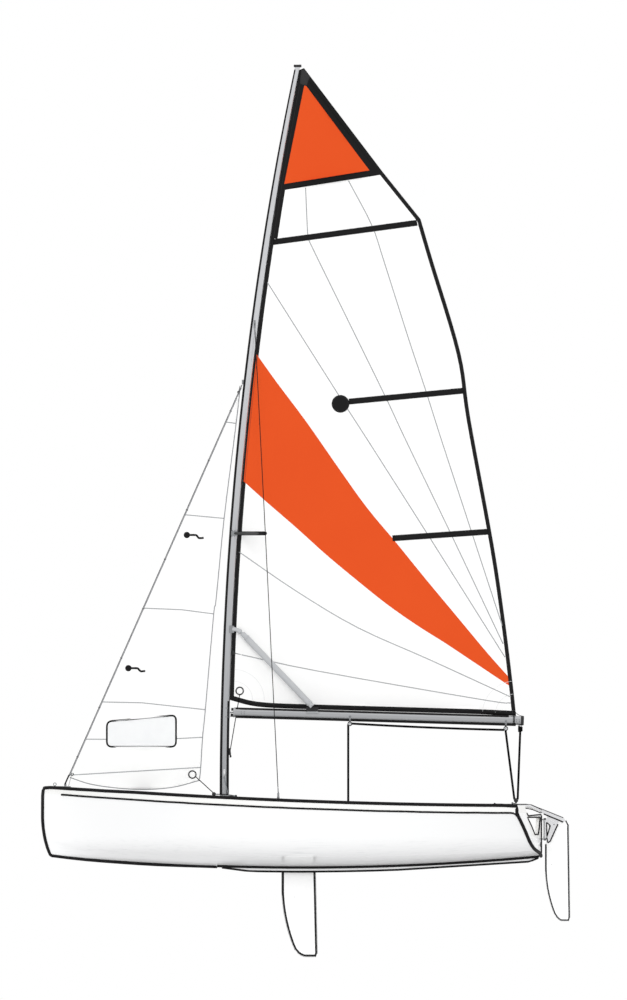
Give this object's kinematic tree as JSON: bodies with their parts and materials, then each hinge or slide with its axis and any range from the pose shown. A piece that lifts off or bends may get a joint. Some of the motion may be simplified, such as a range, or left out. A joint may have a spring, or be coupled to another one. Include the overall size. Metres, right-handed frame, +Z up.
{
  "type": "sailing dinghy",
  "caption": "Two-sail training dinghy with a pivoting centreboard, a kick-up rudder, a tiller and a boom that swings, afloat with sails set.",
  "frame": {"origin": "on the centreline, amidships, at the waterline", "axes": "+X towards the bow, +Y to port, +Z up"},
  "size_m": [4.488, 1.8106, 7.583],
  "materials": {
    "anodised_aluminium": "satin anodised",
    "black_plastic": "satin",
    "black_rubber": "matte",
    "deck_gelcoat": "gloss with a moulded non-slip grain",
    "foil_laminate": "satin",
    "gelcoat": "gloss",
    "sailcloth": "woven polyester",
    "stainless": "polished",
    "webbing": "woven"
  },
  "bodies": {
    "boat": {"bow_eye": "stainless", "centreboard_case_cap": "deck_gelcoat", "centreboard_pin": "stainless", "chainplates": "stainless", "control_cleats": "black_plastic", "deck": "deck_gelcoat", "foredeck_hatch": "black_plastic", "forestay": "stainless", "gooseneck_bracket": "stainless", "hounds_tangs": "stainless", "hull": "gelcoat", "jib": "sailcloth", "jib_sheet_blocks": "black_plastic", "keel_band": "gelcoat", "kicker_bracket": "stainless", "mainsail_luff": "sailcloth", "mainsheet_swivel": "black_plastic", "mast": "anodised_aluminium", "mast_step": "anodised_aluminium", "masthead_cap": "black_plastic", "rubbing_strip": "black_rubber", "rudder_gudgeons": "stainless", "shroud_adjusters": "stainless", "shrouds": "stainless", "spreader_brackets": "stainless", "spreaders": "black_plastic", "stem_fitting": "stainless", "toe_straps": "webbing"},
    "swinging_rig": {"boom": "anodised_aluminium", "boom_nose": "black_plastic", "boom_end_cap": "black_plastic", "mainsail": "sailcloth", "kicker_strut": "anodised_aluminium", "kicker_slide": "black_plastic", "boom_blocks": "black_plastic"},
    "steering": {"rudder_stock": "anodised_aluminium", "rudder_pintle": "stainless", "tiller": "anodised_aluminium", "tiller_extension": "black_plastic", "blade_bolt": "stainless"},
    "kickup_blade": {"rudder_blade": "foil_laminate"},
    "drop_board": {"centreboard": "foil_laminate"}
  },
  "joints": [
    {"name": "boom_swing", "type": "hinge", "parent": "boat", "child": "swinging_rig", "pos_m": [0.495, 0, 1.178], "axis": [-0.1066, 0, 0.9943], "range_deg": [-55, 55]},
    {"name": "rudder_steer", "type": "hinge", "parent": "boat", "child": "steering", "pos_m": [-2.145, 0, 0.185], "axis": [0, 0, 1], "range_deg": [-35, 35]},
    {"name": "blade_lift", "type": "hinge", "parent": "steering", "child": "kickup_blade", "pos_m": [-2.223, 0, 0.225], "axis": [0, 1, 0], "range_deg": [0, 90]},
    {"name": "board_lift", "type": "hinge", "parent": "boat", "child": "drop_board", "pos_m": [0.02, 0, -0.03], "axis": [0, 1, 0], "range_deg": [0, 90]}
  ]
}
